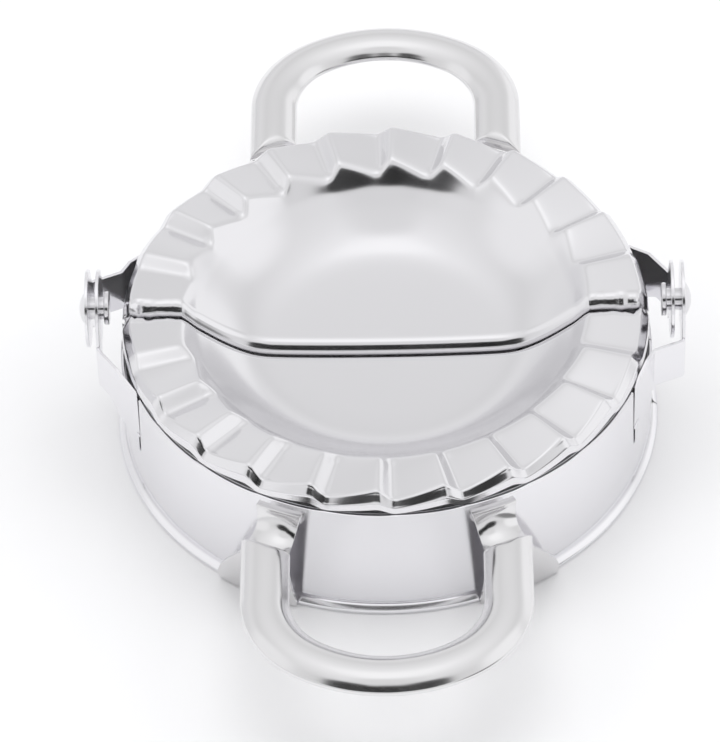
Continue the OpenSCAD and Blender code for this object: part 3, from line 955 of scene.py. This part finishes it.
    def lug(self, hand: Hand, mid_x: float, name: str) -> bpy.types.Object:
        """Round lug on the hinge axis, with the web that joins it to its arm.

        In polar form about the axis the outline is the larger of the disc's radius and the
        distance to the web's straight edges, and rings run from the bore out to it.

        Args:
            hand: end of the hinge that the lug is on.
            mid_x: distance of the lug's middle plane from the middle of the press.
            name: name of the piece.

        Returns:
            The lug as a closed mesh.
        """
        radius = self.lug_d / 2
        angle = np.linspace(0.0, 2 * np.pi, 193)
        turn = np.radians(self.web_turn)
        web = np.array([
            [self.lug_y, self.arm_high - self.axis_z],
            [-radius * np.cos(turn), radius * np.sin(turn)],
            [0.0, 0.0],
            [-radius * np.sin(turn), -radius * np.cos(turn)],
            [self.lug_y + 2 * self.lug_clear, self.arm_low - self.axis_z],
            [self.lug_y, self.arm_low - self.axis_z],
        ])
        ray = join(np.cos(angle), np.sin(angle))
        start, end = web[:, None], np.roll(web, -1, axis=0)[:, None]
        run = end - start
        cross = ray[:, 0] * run[..., 1] - ray[:, 1] * run[..., 0]
        with np.errstate(divide="ignore", invalid="ignore"):
            distance = (start[..., 0] * run[..., 1] - start[..., 1] * run[..., 0]) / cross
            along = (start[..., 0] * ray[:, 1] - start[..., 1] * ray[:, 0]) / cross
        hit = np.where((np.abs(along - 0.5) <= 0.5 + 1e-9) & (distance > 0), distance, 0.0)
        reach = np.maximum(radius, np.nan_to_num(hit).max(axis=0))
        share = np.linspace(0.0, 1.0, 12)[:, None]
        ring = self.bore_r + (reach - self.bore_r) * share
        shell = Shell()
        grids = []
        for x in (mid_x + self.lug_sheet / 2, mid_x - self.lug_sheet / 2):
            points = join(x, ring * ray[:, 0], self.axis_z + ring * ray[:, 1])
            index = shell.add(self.half.place(hand.place(points[:, :-1])))
            grids.append(np.concatenate([index, index[:, :1]], axis=1))
        top, base = grids
        shell.skin(top)
        shell.skin(base[:, ::-1])
        shell.bridge(base[0], top[0])
        shell.bridge(top[-1], base[-1])
        piece = shell.build(name)
        soften(piece, width=0.13)
        return piece

    def build(self) -> list[bpy.types.Object]:
        """Build the band, its two arms and its two lugs, and dress them.

        Returns:
            The pieces, riding on this half and standing for the node.
        """
        label = self.half.label
        bend_y, slant_y = self.lug_y - self.bend_run, self.lug_y - 2 * self.bend_run
        pieces = [self.wall()]
        sides = (
            (Hand.RIGHT, "outer", bend_y, self.outer_lug_x, self.outer_bend_r),
            (Hand.LEFT, "inner", slant_y, self.inner_lug_x, self.inner_bend_r),
        )
        for hand, kind, bend, lug_x, radius in sides:
            corners = np.array([
                self.root, [self.top_r, bend],
                [lug_x, self.lug_y - self.lug_lead], [lug_x, self.lug_y + self.lug_overlap],
            ])
            radii = np.array([radius, self.lug_bend_r])
            pieces.append(self.strip(hand, corners, radii, f"{label}_{kind}_arm"))
        for hand, kind, _, lug_x, _ in sides:
            pieces.append(self.lug(hand, lug_x, f"{label}_{kind}_lug"))
        for piece in pieces:
            BAND_STEEL.dress(piece)
            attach(piece, self.half.body)
            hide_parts(f"{label}_cutter_band")
        return pieces


# ------------------------------------------------------------------ handle and brackets
@dataclass
class LoopHandle:
    """Pressed channel bent into a loop, open below, with closed leg ends.

    Attributes:
        half: half of the press that this handle is on.
        bar_top: height of the bar's crest.
        reach: distance of the loop's nose from the middle of the press.
        width: width of the loop.
        bar_w: width of the bar.
        bar_h: height of the bar.
        bar_round: radius with which the bar comes down at a leg's end.
        crown_rounds: radius of the section's crest and of its shoulder.
        crown_face: length of the slanted face between the two.
        crown_tilt: tilt of that face from level, in degrees.
        sheet: thickness of the sheet.
        front_r: outer radius of the loop's front.
        front_turn: half the angle that this radius spans, in degrees.
        leg_turn: turn of the leg's end about the middle of the press, in degrees.
        leg_end: distance of that end from the middle, along its turn.
        end_rise: how far the end's lower edge stays above the bar's lower edge.
        end_draft: how much nearer to the middle of the press that edge is than leg_end.
        end_run: distance from the end at which the bar has its whole height.
    """

    half: Half
    bar_top: float = 21.2
    reach: float = 84.0
    width: float = 50.8
    bar_w: float = 8.6
    bar_h: float = 2.8
    bar_round: float = 2.1
    crown_rounds: Pair = (4.9, 0.95)
    crown_face: float = 0.7
    crown_tilt: float = 45.0
    sheet: float = 0.7
    front_r: float = 30.0
    front_turn: float = 32.0
    leg_turn: float = LEG_TURN
    leg_end: float = LEG_END
    end_rise: float = 0.3
    end_draft: float = 0.1
    end_run: float = 4.0

    def section(self, inset: float) -> Array:
        """Crowned channel section, from the loop's outer side to its inner side.

        Args:
            inset: distance of this surface inside the outer one.

        Returns:
            Rows of sideways place and height below the bar's top.
        """
        edge, tilt = rounded_edge(self.crown_rounds, self.crown_face, (self.crown_tilt, 90.0))
        out, down = edge.T
        across = out + self.bar_w / 2 - out[-1] - inset * np.sin(tilt)
        side = join(across, -down - inset * np.cos(tilt))[::-1]
        foot = np.linspace([self.bar_w / 2 - inset, -self.bar_h], side[0], 4)[:-1]
        one = np.concatenate([foot, side])
        return np.concatenate([one, (one * [-1.0, 1.0])[::-1]])

    def stations(self, inset: float) -> tuple[Array, Array, Array]:
        """Places along the loop: centre, direction across the bar, and ceiling.

        A leg's end comes down over its rounded edge, so each place there has a ceiling
        that its heights ease into. The rest is one front arc between two corner arcs.

        Args:
            inset: distance of this surface inside the outer one.

        Returns:
            Centres and directions of shape (n, 2), and ceilings of shape (n,).
        """
        turn, front = np.radians(self.leg_turn), np.radians(self.front_turn)
        radius = self.bar_round - inset
        leg_x = (self.width - self.bar_w) / 2
        bend = arc(0.0, 90.0, 10)
        first = self.leg_end + inset
        over = radius * (1 - np.cos(bend))
        away = np.concatenate([[first - self.end_draft], first + over, [first + self.end_run]])
        under = -inset - radius * (1 - np.sin(bend))
        ceiling = np.concatenate([[self.end_rise - self.bar_h], under, [0.0]])
        end_c = join(leg_x, -(away - leg_x * np.sin(turn)) / np.cos(turn))
        end_d = np.broadcast_to([1.0, np.tan(turn)], end_c.shape)
        corner_r = (self.width / 2 - self.front_r * np.sin(front)) / (1 - np.sin(front))
        front_y = self.front_r - self.reach
        offset = self.front_r - corner_r
        corner = np.array([offset * np.sin(front), front_y - offset * np.cos(front)])
        sweep, nose = arc(90.0, self.front_turn, 28), arc(self.front_turn, 0.0, 28)[1:]
        corner_d, nose_d = (join(np.sin(a), -np.cos(a)) for a in (sweep, nose))
        centres = np.concatenate([
            end_c,
            corner + (corner_r - self.bar_w / 2) * corner_d,
            [0.0, front_y] + (self.front_r - self.bar_w / 2) * nose_d,
        ])
        across = np.concatenate([end_d, corner_d, nose_d])
        level = np.concatenate([ceiling, np.zeros(len(sweep) + len(nose))])
        flip = np.array([-1.0, 1.0])
        return (
            np.concatenate([centres * flip, centres[-2::-1]]),
            np.concatenate([across * flip, across[-2::-1]]),
            np.concatenate([level, level[-2::-1]]),
        )

    def surface(self, inset: float) -> Array:
        """Grid of the channel's section carried along the loop's stations.

        A height joins the section's and the ceiling's depths below the bar's top. Each is
        taken as a share of the bar's height to the fourth power, and the depth is the fourth
        root of the two's sum less their product, so that either alone stays as it is.

        Args:
            inset: distance of this surface inside the outer one.

        Returns:
            The points, rows along the loop and columns across the bar.
        """
        section = self.section(inset)
        centre, across, ceiling = self.stations(inset)
        plan = centre[:, None] + across[:, None] * section[None, :, :1]
        deep, late = ((d / self.bar_h) ** 4 for d in (section[None, :, 1], ceiling[:, None]))
        level = self.bar_top - self.bar_h * (deep + late - deep * late) ** 0.25
        return join(plan[..., 0], plan[..., 1], level)

    def build(self) -> bpy.types.Object:
        """Build the loop as one closed sheet and dress it.

        Returns:
            The piece, riding on its half and standing for the node.
        """
        shell = Shell()
        top, base = (shell.add(self.half.place(self.surface(i))) for i in (0.0, self.sheet))
        shell.wrap(top, base)
        piece = shell.build(f"{self.half.label}_loop")
        crease(piece, degrees=50.0)
        HANDLE_STEEL.dress(piece)
        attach(piece, self.half.body)
        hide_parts(f"{self.half.label}_handle")
        return piece


@dataclass
class LegBracket:
    """Strap of sheet under a leg's end: a neck up to the band's top edge and a wide foot.

    Attributes:
        half: half of the press that this bracket is on.
        hand: side of the front half that its shape is made for.
        turn: turn of the strap about the middle of the press, in degrees.
        sheet: thickness of the sheet.
        neck_r: radius of the neck's upper end, on the band.
        neck_top: height of that end.
        under_leg: height of the neck's lower end, under the leg.
        leg_end: radius of that end, at the leg's end.
        neck_w: width of the neck's upper end.
        neck_waist: how much narrower each side of the neck is halfway.
        neck_crown: how far the neck's edges hang there.
        strap_half: half the strap's width at the bend.
        toe_r: radius of the foot's lower edge.
        toe_low: height of that edge.
        foot_in: angle from the strap's middle to that edge's inner end, in degrees.
        foot_out: angle from the strap's middle to its outer end, in degrees.
    """

    half: Half
    hand: Hand
    turn: float = LEG_TURN
    sheet: float = 0.7
    neck_r: float = 48.37
    neck_top: float = 22.48
    under_leg: float = 17.93
    leg_end: float = LEG_END
    neck_w: float = 8.4
    neck_waist: float = 0.6
    neck_crown: float = 1.0
    strap_half: float = 4.18
    toe_r: float = 49.875
    toe_low: float = 0.4
    foot_in: float = 4.0
    foot_out: float = 14.0

    def strap(self) -> Array:
        """Middle surface of the strap as a grid, rows along it and columns across.

        The neck follows a quarter of an ellipse from the band down to the bend. Halfway it is
        narrower, and crowned so that its edges hang lower. The foot runs straight to the
        table while its outer edge swings out along a quarter sine. A row holds its radius,
        its height, where its two edges are, how far it follows the band's round and how far
        its edges hang.

        Returns:
            The points, shape (rows, columns, 3).
        """
        s = np.linspace(0.0, 1.0, 22)
        angle = np.pi / 2 * s
        middle = np.sin(np.pi * s)
        top_half = self.neck_w / 2
        half_w = top_half + (self.strap_half - top_half) * s - self.neck_waist * middle
        neck = join(
            self.neck_r + (self.leg_end - self.neck_r) * (1 - np.cos(angle)),
            self.neck_top + (self.under_leg - self.neck_top) * np.sin(angle),
            -half_w, half_w, 1 - s, self.neck_crown * middle,
        )
        t = np.linspace(0.04, 1.0, 30)
        grow = np.sin(np.pi / 2 * t)
        bend_r, start_z = self.leg_end + self.sheet, self.under_leg - self.sheet
        toe_in, toe_out = self.toe_r * np.sin(np.radians([self.foot_in, self.foot_out]))
        foot = join(
            bend_r + (self.toe_r - bend_r) * t,
            start_z + (self.toe_low - start_z) * t,
            -self.strap_half + (self.strap_half - toe_in) * grow,
            self.strap_half + (toe_out - self.strap_half) * grow,
            t, 0.0,
        )
        knee = foot[:1] + [0.0, self.sheet / 2, 0.0, 0.0, 0.0, 0.0]
        rows = np.concatenate([neck, knee, foot])[..., None]
        radius, height, left, right, follow, crown = rows.transpose(1, 0, 2)
        share = np.linspace(0.0, 1.0, 17)
        across = left + (right - left) * share
        away = radius + (np.sqrt(radius**2 - across**2) - radius) * follow
        turn = np.radians(self.turn)
        return join(
            across * np.cos(turn) + away * np.sin(turn),
            across * np.sin(turn) - away * np.cos(turn),
            height - crown * (2 * share - 1) ** 2,
        )

    def build(self) -> bpy.types.Object:
        """Build the strap as one closed sheet and dress it.

        Returns:
            The piece, riding on its half and standing for the node.
        """
        middle = self.strap()
        shell = Shell()
        out = normals(middle) * self.sheet / 2
        top, base = (shell.add(self.half.place(self.hand.place(middle + k * out))) for k in (1, -1))
        shell.wrap(top, base)
        name = f"{self.half.label}_{self.foot_side().label}"
        piece = shell.build(f"{name}_strap")
        soften(piece, width=0.14)
        HANDLE_STEEL.dress(piece)
        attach(piece, self.half.body)
        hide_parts(f"{name}_bracket")
        return piece

    def foot_side(self) -> Hand:
        """Find the side of the whole press that this bracket ends up on.

        Returns:
            The side, which is the other one on the rear half, since that half is turned.
        """
        if self.half is Half.FRONT:
            return self.hand
        return Hand.RIGHT if self.hand is Hand.LEFT else Hand.LEFT


# ------------------------------------------------------------------ the hinge
@dataclass
class HingeRivet:
    """Shank through both lugs, with a domed head outside and a flat one inside.

    Attributes:
        hand: end of the hinge that this rivet is on.
        axis_z: height of the hinge axis.
        shank_r: radius of the shank.
        tail_r: radius of the flat head.
        tail_x: distance of the flat head's free side from the middle of the press.
        tail_t: thickness of the flat head.
        head_r: radius of the domed head.
        head_x: distance of the domed head's flat side from the middle of the press.
        head_rise: height of the dome.
        head_lip: how much narrower the domed head's flat side is.
        edge: radius of the flat head's rounded edges.
        hub_r: radius of the smallest ring at each end of the axis.
    """

    hand: Hand
    axis_z: float = AXIS_Z
    shank_r: float = 2.0
    tail_r: float = 3.0
    tail_x: float = 49.55
    tail_t: float = 0.85
    head_r: float = 3.2
    head_x: float = 53.72
    head_rise: float = 1.2
    head_lip: float = 0.05
    edge: float = 0.18
    hub_r: float = 0.02

    def build(self) -> bpy.types.Object:
        """Revolve the half section about the hinge axis and dress the rivet.

        Returns:
            The piece, riding on the front half and standing for the node.
        """
        dome_r = (self.head_r**2 + self.head_rise**2) / (2 * self.head_rise)
        lean = np.linspace(np.arcsin(self.head_r / dome_r), 0.0, 14)
        bend = arc(0.0, 90.0, 4)
        tail_end = self.tail_x + self.tail_t
        inwards, down = self.edge * (1 - np.sin(bend)), self.edge * (1 - np.cos(bend))
        section = np.concatenate([
            [[self.tail_x, self.hub_r]],
            join(self.tail_x + inwards, self.tail_r - down)[::-1],
            join(tail_end - inwards, self.tail_r - down),
            [[tail_end, self.shank_r], [self.head_x, self.shank_r]],
            [[self.head_x, self.head_r - self.head_lip]],
            join(self.head_x + self.head_rise - dome_r * (1 - np.cos(lean)),
                 np.maximum(self.hub_r, dome_r * np.sin(lean))),
        ])[:, None]
        angle = np.linspace(0.0, 2 * np.pi, 97)[:-1]
        points = join(
            section[..., 0],
            section[..., 1] * np.cos(angle),
            self.axis_z + section[..., 1] * np.sin(angle),
        )
        shell = Shell()
        index = shell.add(self.hand.place(points))
        index = np.concatenate([index, index[:, :1]], axis=1)
        shell.skin(index)
        for ring, line in ((0, index[0]), (-1, index[-1][::-1])):
            hub = shell.add(self.hand.place(np.array([[section[ring, 0, 0], 0.0, self.axis_z]])))[0]
            shell.fan(hub, line)
        piece = shell.build(f"{self.hand.label}_rivet")
        crease(piece, degrees=45.0)
        RIVET_STEEL.dress(piece)
        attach(piece, "front_half")
        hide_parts(f"{self.hand.label}_hinge_rivet")
        return piece


# ------------------------------------------------------------------ the studio
@dataclass(frozen=True)
class SoftBox:
    """Area lamp that faces the press.

    Attributes:
        name: name of the lamp.
        place: where it hangs, in metres.
        size: its width and height in metres.
        power: its power in watts.
    """

    name: str
    place: Triple
    size: Pair
    power: float

    def hang(self, aim: Vector) -> None:
        """Add the lamp, which isn't seen in reflections.

        Args:
            aim: point that it faces, in metres.
        """
        light = bpy.data.lights.new(self.name, "AREA")
        light.shape = "RECTANGLE"
        light.size, light.size_y = self.size
        light.energy = self.power
        lamp = bpy.data.objects.new(self.name, light)
        lamp.location = self.place
        lamp.rotation_euler = (aim - Vector(self.place)).to_track_quat("-Z", "Y").to_euler()
        lamp.visible_glossy = False
        bpy.context.scene.collection.objects.link(lamp)


@dataclass(frozen=True)
class Patch:
    """Round patch of the room in a tone of its own, with a soft edge.

    Attributes:
        centre: direction of the patch's middle.
        outer: angle from the middle where the soft edge ends, in degrees.
        inner: angle from the middle where the full tone ends, in degrees.
        level: brightness of the patch.
    """

    centre: Triple
    outer: float
    inner: float
    level: float


@dataclass
class Studio:
    """Plain pale table, soft boxes and the camera at the photograph's angle.

    The room that the steel reflects has a tone for each height and round patches on top.

    Attributes:
        focal: focal length in pixels of the photograph.
        image_w: width of the photograph in pixels.
        distance: distance of the camera from the point that it looks at.
        elevation: angle of the camera above the table, in degrees.
        roll: turn of the camera about its own axis, in degrees.
        yaw: turn of the camera about Z, in degrees.
        shift: how far the point it looks at lies left of and below the press's middle.
        target_z: height of that middle.
        sensor: width of the sensor in millimetres.
        clip: nearest and farthest distance that the camera sees, in metres.
        table_half: half the table's width in metres.
        table_colour: the table's colour.
        boxes_aim: point that the lamps face, in metres.
        boxes: the lamps.
        low_tone: the room's colour at the table's height.
        high_tone: the room's colour straight above.
        stops: sine of an angle above the table, and the room's brightness there.
        blue: how much more blue than red and green the room's grey has, as a factor.
        patches: the patches, each over the ones before it.
    """

    focal: float = 5010.0
    image_w: float = 720.0
    distance: float = 900.0
    elevation: float = 45.9
    roll: float = -2.0
    yaw: float = -1.5
    shift: Pair = (4.9, 11.4)
    target_z: float = 27.5
    sensor: float = 36.0
    clip: Pair = (0.05, 20.0)
    table_half: float = 3.0
    table_colour: Triple = (0.95, 0.95, 0.955)
    boxes_aim: Triple = (0.0, 0.0, 0.02)
    boxes: tuple[SoftBox, ...] = (
        SoftBox("left box", (-0.75, -0.1, 0.55), (0.6, 0.6), 0.9),
        SoftBox("right box", (0.75, 0.05, 0.55), (0.6, 0.6), 0.9),
        SoftBox("top box", (0.0, 0.25, 0.95), (0.8, 0.6), 1.8),
    )
    low_tone: Triple = (0.8, 0.8, 0.82)
    high_tone: Triple = (1.17, 1.17, 1.18)
    stops: tuple[Pair, ...] = (
        (0.36, 0.9), (0.6, 0.81), (0.7, 0.86), (0.87, 0.95), (0.95, 1.03), (0.98, 1.14),
    )
    blue: float = 1.01
    patches: tuple[Patch, ...] = (
        Patch((1.0, -0.1, 0.5), 27.0, 14.0, 1.08),
        Patch((-1.0, -0.1, 0.5), 27.0, 14.0, 1.0),
        Patch((0.72, 0.7, 0.0), 32.0, 18.0, 1.05),
        Patch((0.0, -1.0, 1.9), 18.0, 8.0, 0.86),
        Patch((0.82, -0.56, 0.08), 21.0, 12.0, 0.25),
        Patch((0.42, -1.0, 0.82), 14.5, 11.5, 0.03),
        Patch((-0.45, -1.0, 0.82), 14.5, 11.5, 0.03),
        Patch((0.0, -1.0, 0.76), 12.5, 10.5, 0.01),
    )

    def camera(self) -> None:
        """Set the camera where the photograph was taken from."""
        up, yaw, roll = (np.radians(v) for v in (self.elevation, self.yaw, self.roll))
        right = np.array([np.cos(yaw), -np.sin(yaw), 0.0])
        level = np.array([np.sin(yaw), np.cos(yaw), 0.0])
        view = level * np.cos(up) - np.array([0.0, 0.0, np.sin(up)])
        over = np.cross(right, view)
        aim = np.array([0.0, 0.0, self.target_z]) - right * self.shift[0] - over * self.shift[1]
        eye = aim - view * self.distance
        turned_right = right * np.cos(roll) + over * np.sin(roll)
        turned_over = over * np.cos(roll) - right * np.sin(roll)
        lens = bpy.data.cameras.new("camera")
        lens.sensor_fit = "HORIZONTAL"
        lens.sensor_width = self.sensor
        lens.lens = self.focal / self.image_w * self.sensor
        lens.clip_start, lens.clip_end = self.clip
        camera = bpy.data.objects.new("camera", lens)
        axes = Matrix((turned_right, turned_over, -view)).transposed()
        camera.matrix_world = Matrix.Translation(Vector(eye * MM)) @ axes.to_4x4()
        bpy.context.scene.collection.objects.link(camera)
        bpy.context.scene.camera = camera

    def table(self) -> None:
        """Lay the wide matt white table, which keeps the press's shadow."""
        mesh = bpy.data.meshes.new("table")
        side = self.table_half
        corners = [(-side, -side, 0), (side, -side, 0), (side, side, 0), (-side, side, 0)]
        mesh.from_pydata(corners, [], [(0, 1, 2, 3)])
        table = bpy.data.objects.new("table", mesh)
        bpy.context.scene.collection.objects.link(table)
        white = bpy.data.materials.new("white table")
        white.use_nodes = True
        set_inputs(white.node_tree.nodes["Principled BSDF"], {
            "Base Color": (*self.table_colour, 1.0), "Roughness": 0.9, "Specular IOR Level": 0.1,
        })
        mesh.materials.append(white)

    def world(self) -> None:
        """Make the room around the table: toned for the steel, plain white for the camera."""
        world = bpy.data.worlds.new("studio")
        bpy.context.scene.world = world
        world.use_nodes = True
        tree = world.node_tree
        tree.nodes.clear()
        place = tree.nodes.new("ShaderNodeTexCoord")
        path = tree.nodes.new("ShaderNodeLightPath")
        room = tree.nodes.new("ShaderNodeBackground")
        tree.links.new(self.tones(tree, place.outputs["Generated"]), room.inputs["Color"])
        plain_white = add_node(tree, "ShaderNodeBackground", {"Color": (1.0, 1.0, 1.0, 1.0)})
        blend = tree.nodes.new("ShaderNodeMixShader")
        tree.links.new(path.outputs["Is Camera Ray"], blend.inputs["Fac"])
        tree.links.new(room.outputs["Background"], blend.inputs[1])
        tree.links.new(plain_white.outputs["Background"], blend.inputs[2])
        out = tree.nodes.new("ShaderNodeOutputWorld")
        tree.links.new(blend.outputs["Shader"], out.inputs["Surface"])

    def grey(self, level: float) -> tuple[float, float, float, float]:
        """Give the room's grey at a brightness."""
        return (level, level, level * self.blue, 1.0)

    def tones(
        self, tree: bpy.types.NodeTree, direction: bpy.types.NodeSocket
    ) -> bpy.types.NodeSocket:
        """Mix the room's tones by direction: a ramp over the height, then each patch.

        A patch's share is a smooth step of the cosine between its centre and the direction.

        Args:
            tree: node tree of the world.
            direction: socket with the direction that is looked at.

        Returns:
            The colour socket.
        """
        split = tree.nodes.new("ShaderNodeSeparateXYZ")
        tree.links.new(direction, split.inputs["Vector"])
        height = tree.nodes.new("ShaderNodeValToRGB")
        ramp = height.color_ramp
        ramp.elements[0].color = (*self.low_tone, 1.0)
        ramp.elements[1].color = (*self.high_tone, 1.0)
        for at, level in self.stops:
            ramp.elements.new(at).color = self.grey(level)
        tree.links.new(split.outputs["Z"], height.inputs["Fac"])
        colour = height.outputs["Color"]
        for patch in self.patches:
            facing = tree.nodes.new("ShaderNodeVectorMath")
            facing.operation = "DOT_PRODUCT"
            facing.inputs[1].default_value = Vector(patch.centre).normalized()
            tree.links.new(direction, facing.inputs[0])
            edge = add_node(tree, "ShaderNodeMapRange", {
                "From Min": np.cos(np.radians(patch.outer)),
                "From Max": np.cos(np.radians(patch.inner)),
            })
            edge.interpolation_type = "SMOOTHSTEP"
            tree.links.new(facing.outputs["Value"], edge.inputs["Value"])
            mix = tree.nodes.new("ShaderNodeMix")
            mix.data_type = "RGBA"
            share, under, over = (mix.inputs[k] for k in (0, 6, 7))
            over.default_value = self.grey(patch.level)
            tree.links.new(edge.outputs["Result"], share)
            tree.links.new(colour, under)
            colour = mix.outputs[2]
        return colour

    def build(self) -> None:
        """Set up the camera, the table, the lamps and the room.

        Reflections get as many bounces as any light, so that corners of steel don't go black.
        """
        scene = bpy.context.scene
        scene.view_settings.view_transform = "Standard"
        scene.cycles.glossy_bounces = scene.cycles.max_bounces
        self.camera()
        self.table()
        for box in self.boxes:
            box.hang(Vector(self.boxes_aim))
        self.world()


# ------------------------------------------------------------------ the press
@dataclass
class Press:
    """The whole press: both halves and the two rivets."""

    pieces: list[bpy.types.Object] = field(default_factory=list)

    def build(self) -> None:
        """Build every sub-assembly in order and log each piece."""
        for half in Half:
            self.pieces.append(MoldPlate(half).build())
            self.pieces.extend(CutterBand(half).build())
            self.pieces.append(LoopHandle(half).build())
            self.pieces.extend(LegBracket(half, hand).build() for hand in Hand)
        self.pieces.extend(HingeRivet(hand).build() for hand in Hand)
        for piece in self.pieces:
            LOG.info("%s: %d faces", piece.name, len(piece.data.polygons))


def main() -> None:
    """Load the frame, set the studio up and build the press."""
    logging.basicConfig(level=logging.INFO, format="%(name)s: %(message)s")
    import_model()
    Studio().build()
    Press().build()


if __name__ == "__main__":
    main()
